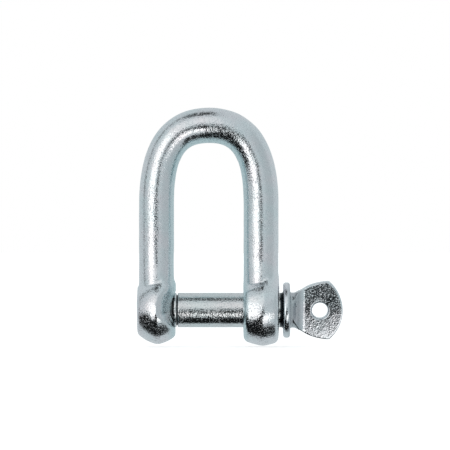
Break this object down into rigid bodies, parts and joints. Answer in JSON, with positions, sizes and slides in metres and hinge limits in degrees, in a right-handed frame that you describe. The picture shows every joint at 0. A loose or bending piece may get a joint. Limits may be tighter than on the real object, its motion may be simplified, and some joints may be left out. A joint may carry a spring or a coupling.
{
  "type": "screw-pin dee shackle",
  "caption": "Forged dee shackle with parallel legs, one tapped and one plain ear, closed by a screw pin with a collar and a flattened, drilled eye.",
  "frame": {"origin": "inside of the bow's crown, at the middle of the bar's depth, where the shackle hangs", "axes": "+Z from the pin up to the bow, +X along the pin's axis towards its eye, +Y through the opening, away from the front"},
  "size_m": [0.0583, 0.0202, 0.0675],
  "materials": {
    "body_zinc": "bright zinc plate over forged steel, semi-gloss, bluish, finely speckled",
    "pin_zinc": "bright zinc plate over turned and forged steel, semi-gloss, bluish, finely speckled"
  },
  "bodies": {
    "body": {"shackle_body": "body_zinc"},
    "pin_carrier": {"pin_shank": "pin_zinc"},
    "pin_screw": {"pin_thread": "pin_zinc", "pin_eye": "pin_zinc"}
  },
  "joints": [
    {"name": "pin_feed", "type": "slide", "parent": "body", "child": "pin_carrier", "axis": [1, 0, 0], "range_m": [-0.001, 0.0425]},
    {"name": "pin_turn", "type": "hinge", "parent": "pin_carrier", "child": "pin_screw", "pos_m": [0, 0, -0.0474], "axis": [1, 0, 0], "range_deg": [-230, 10080]}
  ],
  "couplings": [
    {"joint": "pin_feed", "follows": "pin_turn", "m_per_rad": 0.00023873}
  ]
}
